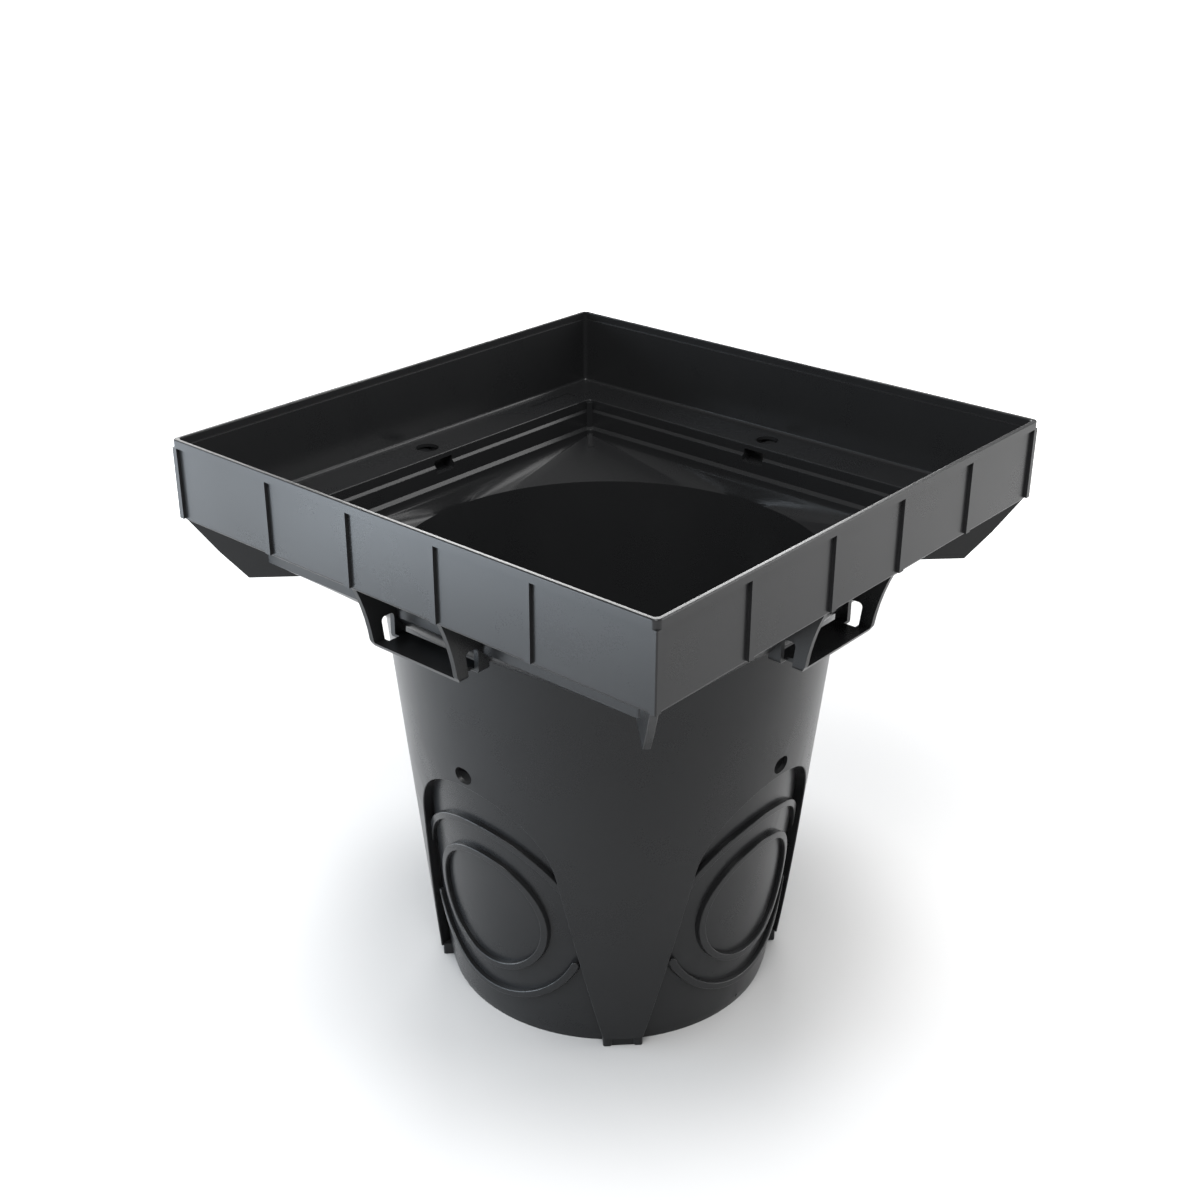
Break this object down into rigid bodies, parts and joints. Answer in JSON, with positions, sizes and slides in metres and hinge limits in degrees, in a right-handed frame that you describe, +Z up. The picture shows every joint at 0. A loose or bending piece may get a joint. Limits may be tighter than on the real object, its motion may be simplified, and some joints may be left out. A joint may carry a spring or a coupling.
{
  "type": "drainage catch basin",
  "caption": "Square-topped black plastic drainage catch basin with a tapered round bucket, a recessed grate seat, pipe outlet recesses and lifting handles.",
  "frame": {"origin": "centre of the round bottom, at ground level", "axes": "+Z up along the axis of the bucket, +X and -Y towards the two sides that face the camera"},
  "size_m": [0.42, 0.42, 0.424],
  "materials": {
    "black_plastic": "satin black moulded polypropylene"
  },
  "bodies": {
    "root": {"basin_body": "black_plastic"}
  },
  "joints": []
}
